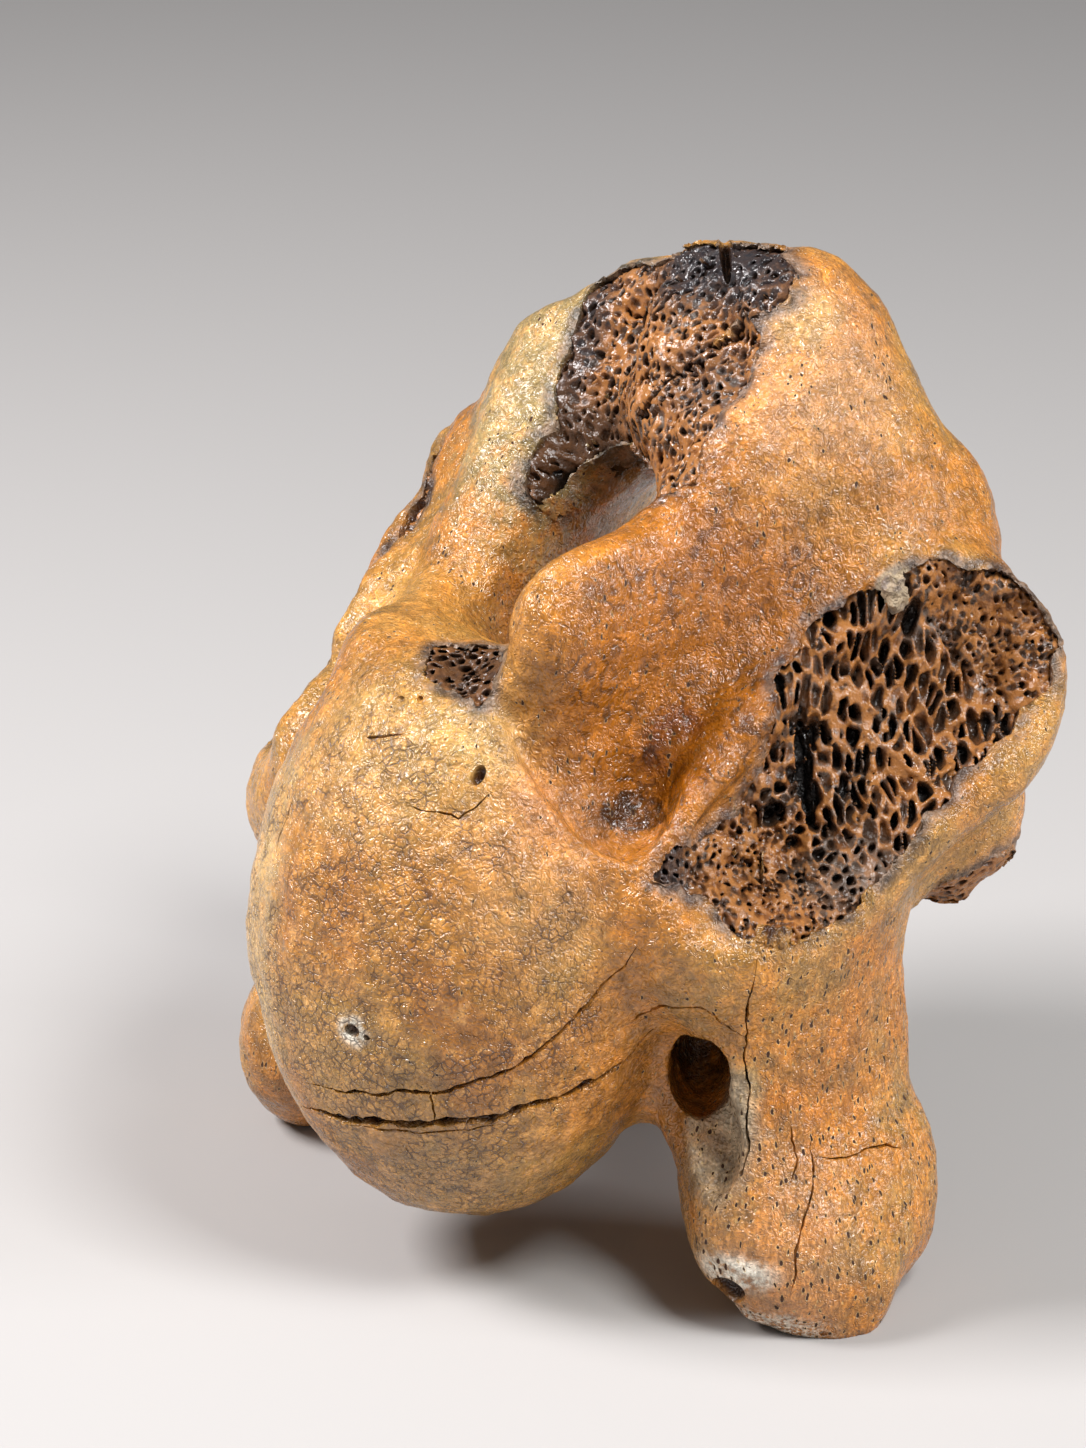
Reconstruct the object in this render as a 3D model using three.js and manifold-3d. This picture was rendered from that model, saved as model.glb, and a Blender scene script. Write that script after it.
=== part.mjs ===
// A fossil cervical vertebra of a bison: head of the centrum forward (-Y), spine up (+Z), the animal's left side on +X.
// The smooth bone is one implicit surface. It is meshed once, its broken faces are carved out of it, and thin cuts
// then part it into the regions an anatomist names. Spongy bone shows in each broken face as a solid of its own.
// Millimetres. The form is written around the centre of the head, and the finished group stands on z = 0.
import * as THREE from "three";
import { mergeVertices } from "three/addons/utils/BufferGeometryUtils.js";
import Module from "manifold-3d";

const wasm = await Module();
wasm.setup();

// ---------- driving dimensions ----------
const FLOOR = -54; // the level the feet stand on, below the centre of the head
const CELL = 5.7; // spacing of the grid the surface is meshed on
const LOW = [-78, -40, -62]; // corners of the box that the form is meshed in
const HIGH = [78, 90, 100];
const TIDY = 0.09; // edges and steps smaller than this are merged
const SEAM = 0.3; // width of the cuts between regions
const RECESS = 1.6; // how far spongy bone lies below the rim of its break
const CLEAR = 0.4; // gap between spongy bone and the smooth bone round it

const HEAD = { centre: [0, 2.5, -5], radii: [30.5, 28, 41.5] };
const BODY = {
  front: 0,
  rear: 66,
  level: [-7, -16], // height of the axis at the front and rear
  wide: [24, 21, 31], // half widths at the front, waist and rear
  deep: [29, 24, 34], // half depths at the same places
};
const COTYLE = { centre: [0, 79, -16], radii: [26, 25, 31] };
const CANAL = { front: [0, -30, 56], rear: [0, 90, 30.5], wide: [12, 10], deep: [13.5, 9.5] };

const COLOUR = { cortex: 0xb9803f, spongiosa: 0x7a5230 };
const ROUGHNESS = { cortex: 0.35, spongiosa: 0.8 };

// ---------- implicit shapes: each returns a function from a point to its distance outside the shape ----------
const mix = (a, b, t) => a + (b - a) * t;
const clamp01 = (t) => Math.min(1, Math.max(0, t));

// One of three values along 0..1, eased through the middle one.
const through = ([a, b, c], t) =>
  t < 0.5 ? mix(a, b, Math.sin(Math.PI * t)) : mix(c, b, Math.sin(Math.PI * t));

function ellipsoid(centre, [rx, ry, rz], turn = [0, 0, 0]) {
  const place = new THREE.Matrix4()
    .makeRotationFromEuler(new THREE.Euler(...turn.map(THREE.MathUtils.degToRad)))
    .setPosition(...centre)
    .invert();
  const q = new THREE.Vector3();
  return (x, y, z) => {
    q.set(x, y, z).applyMatrix4(place);
    const k0 = Math.hypot(q.x / rx, q.y / ry, q.z / rz);
    const k1 = Math.hypot(q.x / rx ** 2, q.y / ry ** 2, q.z / rz ** 2);
    return k1 < 1e-9 ? -Math.min(rx, ry, rz) : (k0 * (k0 - 1)) / k1;
  };
}

// A tapered bar between two points, with an oval section: wide along `across`, thick at right angles to it.
function limb(from, to, across, [wideA, wideB], [thickA, thickB]) {
  const start = new THREE.Vector3(...from);
  const axis = new THREE.Vector3(...to).sub(start);
  const length = axis.length();
  axis.normalize();
  const side = new THREE.Vector3(...across);
  side.addScaledVector(axis, -side.dot(axis)).normalize();
  const up = new THREE.Vector3().crossVectors(axis, side);
  const q = new THREE.Vector3();
  return (x, y, z) => {
    q.set(x, y, z).sub(start);
    const along = q.dot(axis);
    const t = clamp01(along / length);
    const wide = mix(wideA, wideB, t);
    const thick = mix(thickA, thickB, t);
    const cap = Math.min(wide, thick);
    const a = q.dot(side);
    const b = q.dot(up);
    const c = along - t * length;
    const k0 = Math.hypot(a / wide, b / thick, c / cap);
    const k1 = Math.hypot(a / wide ** 2, b / thick ** 2, c / cap ** 2);
    return k1 < 1e-9 ? -cap : (k0 * (k0 - 1)) / k1;
  };
}

const halfSpace = (point, normal) => {
  const n = new THREE.Vector3(...normal).normalize();
  const d = n.dot(new THREE.Vector3(...point));
  return (x, y, z) => n.x * x + n.y * y + n.z * z - d;
};

function blend(a, b, soft) {
  const h = Math.max(soft - Math.abs(a - b), 0) / soft;
  return Math.min(a, b) - (h * h * soft) / 4;
}
const carve = (a, b, soft) => -blend(-a, b, soft);

// ---------- the bone ----------
// The body of the vertebra: an oval column with a waist, dropping to the rear.
function bodyColumn(x, y, z) {
  const t = clamp01((y - BODY.front) / (BODY.rear - BODY.front));
  const wide = through(BODY.wide, t);
  const deep = through(BODY.deep, t);
  const k = Math.hypot(x / wide, (z - mix(...BODY.level, t)) / deep);
  const column = (k - 1) * Math.min(wide, deep);
  return carve(carve(column, -(y - BODY.rear), 5), y - BODY.front, 5);
}

const head = ellipsoid(HEAD.centre, HEAD.radii);
const keel = limb([0, 24, -32], [0, 56, -40], [1, 0, 0], [4, 5], [6, 8]);
const cotyle = ellipsoid(COTYLE.centre, COTYLE.radii);
const canal = limb(CANAL.front, CANAL.rear, [1, 0, 0], CANAL.wide, CANAL.deep);

function centrum(x, y, z) {
  let d = blend(head(x, y, z), bodyColumn(x, y, z), 5);
  d = blend(d, keel(x, y, z), 8);
  return carve(d, cotyle(x, y, z), 3);
}

// The arch: a wall on each side of the canal, a thick roof behind, and the stump of the spine on it.
const pedicle = limb([17, 5, 33], [25, 56, 46], [0.05, 0.1, 1], [19, 22], [6, 9]);
const wallBase = limb([17, 10, 12], [20, 54, 12], [0, 0, 1], [14, 14], [8, 10]);
const sill = limb([8, 3, 29], [14, 4, 43], [0, 1, 0], [9, 6], [10, 6.5]);
const lamina = limb([21, 34, 52], [26, 54, 48.5], [0, 0.2, 1], [17, 16.5], [7, 11]);
const roof = limb([-15, 43, 55], [15, 41, 55], [0, 0, 1], [13, 13], [14, 14]);
const dome = limb([-8, 50, 63], [16, 53, 64.5], [0, 0, 1], [18, 19.5], [14, 14]);
const shoulder = limb([16, 53, 60], [26, 57, 50], [0, 1, 0], [12, 9], [15, 11.5]);
const rearJoint = limb([29, 54, 44], [34, 64, 45], [0.3, 0.2, 1], [14, 11], [8, 7]);

// The side mass: the root of the transverse process, rising to the rear.
const flank = limb([34, 13, 7], [45, 47, 28], [-0.7, -0.21, 0.67], [14, 18], [13, 13]);
const flankTip = ellipsoid([50, 52, 34], [11, 11, 13], [20, 0, 0]);
const root = limb([22, 12, -4], [35, 22, 6], [0, 1, 0], [12, 17], [11, 11]);
const knob = limb([36, 44, 10], [43, 58, 5], [0, 0, 1], [14, 13.5], [9, 8]);

// The hollow between the arch and the side mass, deep and narrow behind the head, wide and shallow higher up, and
// the raised lip between it and the broken outer face.
const saddle = limb([31, 3, 24], [44, 21, 52], [0.6, 0.5, -0.6], [8.5, 12], [7.5, 10]);
const lip = limb([33.5, 4.5, 14], [36, 25, 32], [0.6, 0.5, -0.6], [3, 3], [3, 3]);

// The plate that hangs from the side mass and ends in a swollen foot.
const plate = limb([42, 24, 0], [44, 27, -36], [0.1, 1, 0], [17, 16.5], [7, 7]);
const buttress = limb([27, 22, -12], [42, 15, -41], [0, 1, 0], [9, 9], [8, 8]);
const foot = limb([45, 16, -43], [47, 34, -43], [0, 0, 1], [12, 12], [9, 9]);

// The outer face of the side mass is broken away: a slanting plane with a long shallow dish in it.
const FLANK_FACING = [0.7, -0.524, 0.486];
const flankPlane = halfSpace([48, 33.1, 26.8], FLANK_FACING);
const flankDish = limb([45.2, 15.6, 17.2], [53.9, 46.4, 37.8], [0.677, 0.268, -0.685], [9, 13], [8, 8]);

function halfSide(x, y, z) {
  let d = blend(flank(x, y, z), flankTip(x, y, z), 8);
  d = blend(d, root(x, y, z), 10);
  d = blend(d, knob(x, y, z), 7);
  d = carve(carve(d, -flankPlane(x, y, z), 2), flankDish(x, y, z), 4);
  const leg = blend(blend(plate(x, y, z), foot(x, y, z), 10), buttress(x, y, z), 6);
  return blend(d, leg, 9);
}

// The spine is broken off on a slanting face, and the front of the right wall of the canal is gone.
const spineBreak = halfSpace([20, 26, 59], [-0.356, -0.91, 0.21]);
const wallBreak = halfSpace([-20, 30.5, 49], [0, -0.784, 0.62]);
const lostWall = (x, y, z) => Math.max(x + 6, -wallBreak(x, y, z), 36 - z);

function arch(x, y, z) {
  const px = Math.abs(x);
  let top = blend(roof(x, y, z), dome(x, y, z), 10);
  top = blend(top, lamina(px, y, z), 8);
  top = blend(top, shoulder(x, y, z), 8);
  top = carve(top, -spineBreak(x, y, z), 2);
  const walls = blend(blend(pedicle(px, y, z), sill(px, y, z), 8), wallBase(px, y, z), 8);
  return blend(blend(walls, top, 6), rearJoint(px, y, z), 8);
}

function bone(x, y, z) {
  const px = Math.abs(x);
  let d = blend(arch(x, y, z), halfSide(px, y, z), 13);
  d = blend(carve(d, saddle(px, y, z), 8), lip(px, y, z), 5);
  d = blend(d, centrum(x, y, z), 5);
  d = carve(d, canal(x, y, z), 4);
  return carve(d, lostWall(x, y, z), 5);
}

// ---------- meshing ----------
// Surface nets over a box of cells: one vertex in each cell the surface crosses, moved on to the surface itself.
function surfaceNet(field, low, high, cell) {
  const count = low.map((v, i) => Math.ceil((high[i] - v) / cell) + 1);
  const index = (i, j, k) => i + count[0] * (j + count[1] * k);
  const place = (i, j, k) => [low[0] + i * cell, low[1] + j * cell, low[2] + k * cell];
  const value = new Float64Array(count[0] * count[1] * count[2]);
  for (let k = 0; k < count[2]; k++)
    for (let j = 0; j < count[1]; j++)
      for (let i = 0; i < count[0]; i++) value[index(i, j, k)] = field(...place(i, j, k));

  // Where the four corners of a face alternate, two sheets would share an edge: the shallower gap is filled first.
  const across = [1, count[0], count[0] * count[1]];
  for (let mended = true; mended; ) {
    mended = false;
    for (let n = 0; n < value.length - across[0] - across[1] - across[2]; n++)
      for (const [u, v] of [[0, 1], [1, 2], [0, 2]]) {
        const face = [n, n + across[u], n + across[u] + across[v], n + across[v]];
        const out = face.filter((m) => value[m] >= 0);
        if (out.length !== 2 || value[face[0]] >= 0 !== value[face[2]] >= 0) continue;
        value[value[out[0]] < value[out[1]] ? out[0] : out[1]] = -cell / 100;
        mended = true;
      }
  }

  const corners = [0, 1, 2, 3, 4, 5, 6, 7].map((c) => [c & 1, (c >> 1) & 1, c >> 2]);
  const edges = [];
  for (let a = 0; a < 8; a++)
    for (let bit = 1; bit < 8; bit <<= 1) if (!(a & bit)) edges.push([a, a | bit]);

  const positions = [];
  const vertexOf = new Map();
  for (let k = 0; k < count[2] - 1; k++)
    for (let j = 0; j < count[1] - 1; j++)
      for (let i = 0; i < count[0] - 1; i++) {
        const v = corners.map(([a, b, c]) => value[index(i + a, j + b, k + c)]);
        const sum = [0, 0, 0];
        let crossings = 0;
        for (const [a, b] of edges) {
          if (v[a] < 0 === v[b] < 0) continue;
          const t = v[a] / (v[a] - v[b]);
          for (let n = 0; n < 3; n++) sum[n] += mix(corners[a][n], corners[b][n], t);
          crossings++;
        }
        if (!crossings) continue;
        vertexOf.set(index(i, j, k), positions.length / 3);
        const at = place(i, j, k).map((p, n) => p + (cell * sum[n]) / crossings);
        positions.push(...settled(field, at, cell / 2));
      }

  const triangles = [];
  const quad = (a, b, c, d, flip) => {
    const q = [a, b, c, d].map((n) => vertexOf.get(n));
    triangles.push(...(flip ? [q[0], q[2], q[1], q[0], q[3], q[2]] : [q[0], q[1], q[2], q[0], q[2], q[3]]));
  };
  for (let k = 1; k < count[2] - 1; k++)
    for (let j = 1; j < count[1] - 1; j++)
      for (let i = 1; i < count[0] - 1; i++) {
        const outside = value[index(i, j, k)] >= 0;
        if (outside !== value[index(i + 1, j, k)] >= 0)
          quad(index(i, j, k), index(i, j - 1, k), index(i, j - 1, k - 1), index(i, j, k - 1), outside);
        if (outside !== value[index(i, j + 1, k)] >= 0)
          quad(index(i, j, k), index(i, j, k - 1), index(i - 1, j, k - 1), index(i - 1, j, k), outside);
        if (outside !== value[index(i, j, k + 1)] >= 0)
          quad(index(i, j, k), index(i - 1, j, k), index(i - 1, j - 1, k), index(i, j - 1, k), outside);
      }
  return new THREE.BufferGeometry()
    .setAttribute("position", new THREE.BufferAttribute(new Float32Array(positions), 3))
    .setIndex(triangles);
}

// A point moved along the field's slope on to the surface, by no more than `reach`.
function settled(field, start, reach) {
  const step = 0.05;
  let at = start;
  for (let turn = 0; turn < 3; turn++) {
    const d = field(...at);
    const slope = [0, 1, 2].map((n) => {
      const ahead = at.map((p, m) => (m === n ? p + step : p));
      return (field(...ahead) - d) / step;
    });
    const steep = Math.max(slope[0] ** 2 + slope[1] ** 2 + slope[2] ** 2, 0.05);
    at = at.map((p, n) => p - (d * slope[n]) / steep);
  }
  return at.map((p, n) => Math.min(start[n] + reach, Math.max(start[n] - reach, p)));
}

function solidOf(geometry) {
  const plain = new THREE.BufferGeometry()
    .setAttribute("position", geometry.getAttribute("position"))
    .setIndex(geometry.index);
  const merged = mergeVertices(plain, 1e-4);
  return new wasm.Manifold(
    new wasm.Mesh({
      numProp: 3,
      vertProperties: merged.attributes.position.array,
      triVerts: new Uint32Array(merged.index.array),
    }),
  );
}

// ---------- broken faces ----------
// A hollow with steep walls, a nearly flat bottom and a ragged oval outline. It faces along `facing`, its long way
// runs along `along`, and it reaches `deep` into the bone and `high` out of it. `shrink` draws every side in.
function hollow({ centre, along, facing, long, wide, deep, high, ragged, seed }, shrink = 0) {
  const n = new THREE.Vector3(...facing).normalize();
  const a = new THREE.Vector3(...along);
  a.addScaledVector(n, -a.dot(n)).normalize();
  const w = new THREE.Vector3().crossVectors(n, a);
  const shell = mergeVertices(new THREE.SphereGeometry(1, 20, 8).deleteAttribute("normal").deleteAttribute("uv"));
  const point = shell.getAttribute("position");
  for (let i = 0; i < point.count; i++) {
    const [x, y, up] = [point.getX(i), -point.getZ(i), point.getY(i)];
    const turn = Math.atan2(y, x);
    const tooth = Math.sin(3 * turn + seed) / 2 + Math.sin(7 * turn + 2 * seed) / 3 + Math.sin(11 * turn + 3 * seed) / 4;
    const spread = 1 + ragged * tooth;
    const rise = Math.sign(up) * Math.sqrt(Math.abs(up)) * ((up < 0 ? deep : high) - shrink);
    const at = new THREE.Vector3(...centre)
      .addScaledVector(a, x * spread * (long - shrink))
      .addScaledVector(w, y * spread * (mix(...wide, (x + 1) / 2) - shrink))
      .addScaledVector(n, rise);
    point.setXYZ(i, at.x, at.y, at.z);
  }
  return solidOf(shell);
}

const FLANK_BREAK = {
  centre: [45.4, 31, 23.1], along: [0.229, 0.809, 0.542], facing: FLANK_FACING,
  long: 33.5, wide: [12, 14], deep: 7, high: 14, ragged: 0.05, seed: 1,
};
const TUBERCLE_BREAK = {
  centre: [45, 54, -3], along: [0.8, 0.55, 0.1], facing: [0.45, -0.55, -0.7],
  long: 8, wide: [5, 5], deep: 4, high: 8, ragged: 0.05, seed: 2,
};
const mirrorX = ([x, y, z]) => [-x, y, z];
const otherSide = (face, changes) => ({
  ...face, centre: mirrorX(face.centre), along: mirrorX(face.along), facing: mirrorX(face.facing), ...changes,
});
const BREAKS = {
  spongiosa_spine: {
    centre: [1.5, 38, 68], along: [0.35, 0, 1], facing: [-0.356, -0.91, 0.21],
    long: 27, wide: [14, 25], deep: 8, high: 16, ragged: 0.05, seed: 4,
  },
  spongiosa_flank_left: FLANK_BREAK,
  spongiosa_flank_right: otherSide(FLANK_BREAK, { long: 27, ragged: 0.08, seed: 5 }),
  spongiosa_tubercle_left: TUBERCLE_BREAK,
  spongiosa_tubercle_right: otherSide(TUBERCLE_BREAK, { seed: 6 }),
  spongiosa_canal_rim: {
    centre: [6, -1, 37], along: [0.8, 0.6, 0], facing: [0.1, -0.5, 0.86],
    long: 6.5, wide: [6, 6], deep: 5, high: 8, ragged: 0.06, seed: 7,
  },
};

// ---------- parting ----------
// The space on the far side of every plane, each given as [normal, offset], moved out by `grow`.
const block = solidOf(new THREE.BoxGeometry(400, 400, 400));
const space = (planes, grow = 0) =>
  planes.reduce((left, [normal, offset]) => {
    const size = Math.hypot(...normal);
    return left.trimByPlane(normal.map((v) => v / size), offset / size - grow);
  }, block);

// The main piece of a cut, without its crumbs and its shortest edges.
const largest = (solid) => solid.decompose().sort((a, b) => b.volume() - a.volume())[0].simplify(TIDY);

const ground = [[[0, 0, 1], FLOOR]];
let smooth = solidOf(surfaceNet(bone, LOW, HIGH, CELL)).intersect(space(ground));
const core = solidOf(surfaceNet((x, y, z) => bone(x, y, z) + RECESS, LOW, HIGH, CELL));

const solids = {};
for (const [name, face] of Object.entries(BREAKS)) {
  smooth = smooth.subtract(hollow(face));
  solids[name] = largest(core.intersect(hollow(face, CLEAR)));
}

// Each region is cut from what is left of the smooth bone, in this order.
const mirrorPlanes = (planes) => planes.map(([[x, y, z], offset]) => [[-x, y, z], offset]);
const LEG = [[[0, 0, -1], 9], [[1, 0.2, 0], 32.6], [[0, -1, 0], -46]];
const WING = [[[1, -0.12, 0], 30.8]];
const ARCH = [[[1, 0, 1], 46.6]];
const REAR_JOINT = [[[1, 0, 0], 19], [[0, 1, 0], 56], [[0, 0, -1], -66], [[1, 0, 1], 50]];
const REGIONS = {
  ventral_lamina_left: [LEG],
  ventral_lamina_right: [mirrorPlanes(LEG)],
  transverse_process_left: [WING],
  transverse_process_right: [mirrorPlanes(WING)],
  spinous_process: [[[[0, 0, 1], 66]]],
  caudal_articular_process_left: [REAR_JOINT],
  caudal_articular_process_right: [mirrorPlanes(REAR_JOINT)],
  neural_arch: [ARCH, mirrorPlanes(ARCH)],
};
let rest = smooth;
for (const [name, spaces] of Object.entries(REGIONS)) {
  const taken = spaces.map((planes) => space(planes)).reduce((a, b) => a.add(b));
  const kept = spaces.map((planes) => space(planes, SEAM)).reduce((a, b) => a.add(b));
  solids[name] = largest(rest.intersect(taken));
  rest = rest.subtract(kept);
}
solids.centrum = largest(rest);

// ---------- the finished group ----------
// The middle of the base comes to the origin.
const bounds = smooth.boundingBox();
const shift = [-(bounds.min[0] + bounds.max[0]) / 2, -(bounds.min[1] + bounds.max[1]) / 2, -bounds.min[2]];

const vertebra = new THREE.Group();
vertebra.name = "fossil_vertebra";
for (const [name, solid] of Object.entries(solids)) {
  const { vertProperties, triVerts } = solid.getMesh();
  const geometry = new THREE.BufferGeometry()
    .setAttribute("position", new THREE.BufferAttribute(vertProperties, 3))
    .setIndex(new THREE.BufferAttribute(triVerts, 1))
    .translate(...shift);
  geometry.computeVertexNormals();
  const kind = name.startsWith("spongiosa") ? "spongiosa" : "cortex";
  const material = new THREE.MeshStandardMaterial({ color: COLOUR[kind], roughness: ROUGHNESS[kind], metalness: 0 });
  const mesh = new THREE.Mesh(geometry, material);
  mesh.name = name;
  vertebra.add(mesh);
}

export default vertebra;
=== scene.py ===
"""A fossil bison vertebra: varnished outer bone, cracks in it, and spongy bone showing in its breaks.

Metres, +Z up, -Y towards the animal's head, +X towards its left side. Shapes are written in millimetres.
"""
import math
from types import SimpleNamespace

import bpy
import numpy as np
from mathutils import Euler, Matrix, Vector, noise
from mathutils.bvhtree import BVHTree


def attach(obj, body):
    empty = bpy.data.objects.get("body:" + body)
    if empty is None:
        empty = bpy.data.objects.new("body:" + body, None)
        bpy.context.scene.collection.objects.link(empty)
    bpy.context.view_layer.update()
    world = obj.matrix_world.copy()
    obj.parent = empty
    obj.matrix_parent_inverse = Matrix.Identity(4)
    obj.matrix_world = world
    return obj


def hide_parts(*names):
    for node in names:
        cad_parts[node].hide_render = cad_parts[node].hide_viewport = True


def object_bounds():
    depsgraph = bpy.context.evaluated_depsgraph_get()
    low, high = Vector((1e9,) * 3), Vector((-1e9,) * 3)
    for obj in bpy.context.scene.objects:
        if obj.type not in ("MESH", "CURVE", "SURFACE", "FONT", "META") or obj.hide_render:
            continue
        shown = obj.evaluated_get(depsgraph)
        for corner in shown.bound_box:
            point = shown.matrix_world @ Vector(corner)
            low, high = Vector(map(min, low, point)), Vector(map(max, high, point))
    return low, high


MM = 0.001

# ---------- the frame ----------
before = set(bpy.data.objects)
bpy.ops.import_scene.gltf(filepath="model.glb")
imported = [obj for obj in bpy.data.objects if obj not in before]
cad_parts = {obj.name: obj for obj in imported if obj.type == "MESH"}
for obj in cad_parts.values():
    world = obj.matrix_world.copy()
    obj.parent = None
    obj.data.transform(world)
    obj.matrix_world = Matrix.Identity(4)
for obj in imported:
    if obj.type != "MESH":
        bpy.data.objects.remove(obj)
cad_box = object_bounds()
SHELL_NODES = {
    "head_bone": ["centrum"],
    "body_bone": [],
    "arch_bone": [
        "neural_arch",
        "spinous_process",
        "caudal_articular_process_left",
        "caudal_articular_process_right",
    ],
    "left_side_bone": ["transverse_process_left", "ventral_lamina_left"],
    "right_side_bone": ["transverse_process_right", "ventral_lamina_right"],
}
SPONGY_NODES = [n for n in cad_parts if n.startswith("spongiosa")]

# ---------- sizes ----------
SEAM_FILL = 0.35 * MM  # how far each body swells to close the cuts between them
FORM_VOXEL = 1.0 * MM
FORM_SMOOTHING = 25  # rounds
SKIN_VOXEL = 0.55 * MM
SKIN_SMOOTHING = 4
LUMPINESS = [(9, 0.5), (3.5, 0.22), (1.6, 0.1)]  # size and height of the lumps on the outer bone
CHIP_LUMPINESS = (1.5, 0.9)
SHARP_ANGLE = math.radians(38)  # edges that turn more than this stay sharp


# ---------- small helpers ----------
def select_only(*objects):
    bpy.ops.object.select_all(action="DESELECT")
    for o in objects:
        o.select_set(True)
    bpy.context.view_layer.objects.active = objects[0]


def new_object(name, data):
    o = bpy.data.objects.new(name, data)
    bpy.context.scene.collection.objects.link(o)
    return o


def remove(*objects):
    for o in objects:
        bpy.data.objects.remove(o)


def modify(o, kind, **settings):
    """Adds a modifier, sets it and applies it."""
    m = o.modifiers.new(kind.lower(), kind)
    for name, value in settings.items():
        setattr(m, name, value)
    select_only(o)
    bpy.ops.object.modifier_apply(modifier=m.name)


def points_of(o):
    co = np.empty(len(o.data.vertices) * 3, np.float32)
    o.data.vertices.foreach_get("co", co)
    return co.reshape(-1, 3).astype(float)


def put_points(o, co):
    o.data.vertices.foreach_set("co", co.astype(np.float32).ravel())
    o.data.update()


def joined(name, copies):
    select_only(*copies)
    if len(copies) > 1:
        bpy.ops.object.join()
    o = bpy.context.view_layer.objects.active
    o.name = name
    return o


def merged_copy(name, nodes):
    """One mesh from copies of CAD nodes, with the loose triangles merged."""
    o = joined(name, [new_object(name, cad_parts[n].data.copy()) for n in nodes])
    bpy.ops.object.mode_set(mode="EDIT")
    bpy.ops.mesh.select_all(action="SELECT")
    bpy.ops.mesh.remove_doubles(threshold=1e-6)
    bpy.ops.object.mode_set(mode="OBJECT")
    return o


# ---------- node trees written as sums ----------
class Field:
    """A number carried through a node tree."""

    def __init__(self, tree, socket):
        self.tree, self.socket = tree, socket

    def math(self, operation, *others):
        n = self.tree.nodes.new("ShaderNodeMath")
        n.operation = operation
        for place, value in zip(n.inputs, (self, *others)):
            plug(self.tree, place, value)
        return Field(self.tree, n.outputs[0])

    def __add__(self, other):
        return self.math("ADD", other)

    def __sub__(self, other):
        return self.math("SUBTRACT", other)

    def __mul__(self, other):
        return self.math("MULTIPLY", other)

    def __neg__(self):
        return self.math("MULTIPLY", -1.0)

    def least(self, other):
        return self.math("MINIMUM", other)

    def most(self, other):
        return self.math("MAXIMUM", other)

    def ramp(self, low, high, start=0.0, end=1.0):
        n = node(
            self.tree, "ShaderNodeMapRange",
            {"Value": self, "From Min": low, "From Max": high, "To Min": start, "To Max": end},
            interpolation_type="SMOOTHSTEP",
        )
        return Field(self.tree, n.outputs["Result"])


def plug(tree, place, value):
    if isinstance(value, Field):
        value = value.socket
    if isinstance(value, bpy.types.NodeSocket):
        tree.links.new(value, place)
    else:
        place.default_value = value


def node(tree, kind, inputs=None, **settings):
    n = tree.nodes.new(kind)
    for name, value in settings.items():
        setattr(n, name, value)
    for name, value in (inputs or {}).items():
        plug(tree, n.inputs[name], value)
    return n


def vector(tree, operation, *values):
    n = tree.nodes.new("ShaderNodeVectorMath")
    n.operation = operation
    for place, value in zip(n.inputs, values):
        plug(tree, place, value)
    return n.outputs["Value"] if operation in ("LENGTH", "DISTANCE", "DOT_PRODUCT") else n.outputs[0]


def split_axes(tree, position):
    n = node(tree, "ShaderNodeSeparateXYZ", {0: position})
    return [Field(tree, s) for s in n.outputs]


def joined_axes(tree, x, y, z):
    return node(tree, "ShaderNodeCombineXYZ", {0: x, 1: y, 2: z}).outputs[0]


def cloud(tree, position, size, detail=2.0, rough=0.5, twist=0.0, offset=(0, 0, 0)):
    """Soft noise from 0 to 1 with lumps of about this size."""
    moved = vector(tree, "ADD", position, offset) if any(offset) else position
    n = node(
        tree, "ShaderNodeTexNoise",
        {"Vector": moved, "Scale": 1 / size, "Detail": detail, "Roughness": rough, "Distortion": twist},
    )
    return Field(tree, n.outputs[0])


def cells(tree, position, size, feature="F1", randomness=1.0):
    """Distance to a cell's middle or to its edge, in cell sizes."""
    n = node(
        tree, "ShaderNodeTexVoronoi",
        {"Vector": position, "Scale": 1 / size, "Randomness": randomness},
        feature=feature,
    )
    return Field(tree, n.outputs["Distance"])


def warped(tree, position, size, amount):
    """The position pushed about by noise, so that a pattern on it wanders."""
    n = node(tree, "ShaderNodeTexNoise", {"Vector": position, "Scale": 1 / size, "Detail": 1.0})
    push = vector(tree, "SUBTRACT", n.outputs["Color"], (0.5, 0.5, 0.5))
    scaled = node(tree, "ShaderNodeVectorMath", {0: push, "Scale": 2 * amount}, operation="SCALE")
    return vector(tree, "ADD", position, scaled.outputs[0])


def nodes_modifier(o, tree):
    m = o.modifiers.new("nodes", "NODES")
    m.node_group = tree
    select_only(o)
    bpy.ops.object.modifier_apply(modifier=m.name)
    bpy.data.node_groups.remove(tree)


def geometry_tree(name):
    tree = bpy.data.node_groups.new(name, "GeometryNodeTree")
    for way in ("INPUT", "OUTPUT"):
        tree.interface.new_socket("Geometry", in_out=way, socket_type="NodeSocketGeometry")
    start = tree.nodes.new("NodeGroupInput")
    end = tree.nodes.new("NodeGroupOutput")
    return tree, start.outputs[0], end.inputs[0]


def geometry_of(tree, o):
    return node(tree, "GeometryNodeObjectInfo", {"Object": o}).outputs["Geometry"]


# ---------- the smooth form ----------
# Places where the finished bone swells or draws in from the plain solids: centre, reach and push.
PUSHES = [
    ((54, 0, 6), 17, (3, -1, 0)),
    ((54, -3, 5), 12, (1.5, 0.5, -5)),
    ((37, -8, 5), 12, (3.5, 1, 1)),
    ((26, -15, 73), 9, (-2, 1.5, -2.5)),
]
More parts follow.
